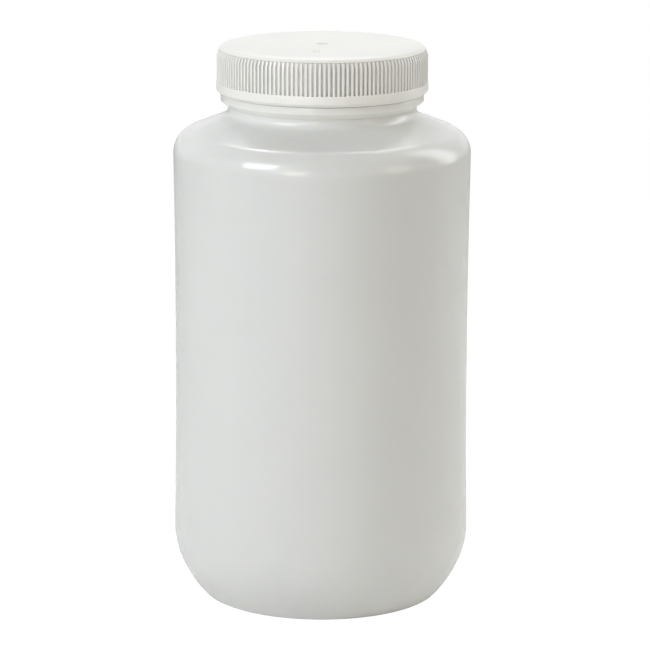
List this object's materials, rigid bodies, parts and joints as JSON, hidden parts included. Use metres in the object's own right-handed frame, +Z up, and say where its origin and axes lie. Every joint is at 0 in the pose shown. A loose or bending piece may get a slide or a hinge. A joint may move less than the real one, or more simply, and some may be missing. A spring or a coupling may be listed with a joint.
{
  "type": "wide-mouth laboratory bottle",
  "caption": "Tall cylindrical wide-mouth plastic laboratory bottle with a rounded heel and shoulder, closed by a ribbed screw cap with a sealing liner.",
  "frame": {"origin": "on the ground at the middle of the ring that the bottle stands on", "axes": "+Z up along the bottle's axis; -Y is the side that the picture shows; +X to its right"},
  "size_m": [0.1508, 0.1508, 0.2838],
  "materials": {
    "bottle_plastic": "natural polyethylene, milky and translucent, satin",
    "cap_plastic": "opaque white polypropylene, semi-gloss",
    "liner_foam": "white closed-cell foam, dull"
  },
  "bodies": {
    "bottle_body": {"bottle": "bottle_plastic"},
    "liner_body": {"cap_liner": "liner_foam"},
    "cap_body": {"screw_cap": "cap_plastic"}
  },
  "joints": [
    {"name": "cap_lift", "type": "slide", "parent": "bottle_body", "child": "liner_body", "axis": [0, 0, 1], "range_m": [0, 0.0305]},
    {"name": "cap_turn", "type": "hinge", "parent": "liner_body", "child": "cap_body", "pos_m": [0, 0, 0.2809], "axis": [0, 0, 1], "range_deg": [0, 2160]}
  ],
  "couplings": [
    {"joint": "cap_lift", "follows": "cap_turn", "m_per_rad": 0.00080851}
  ]
}
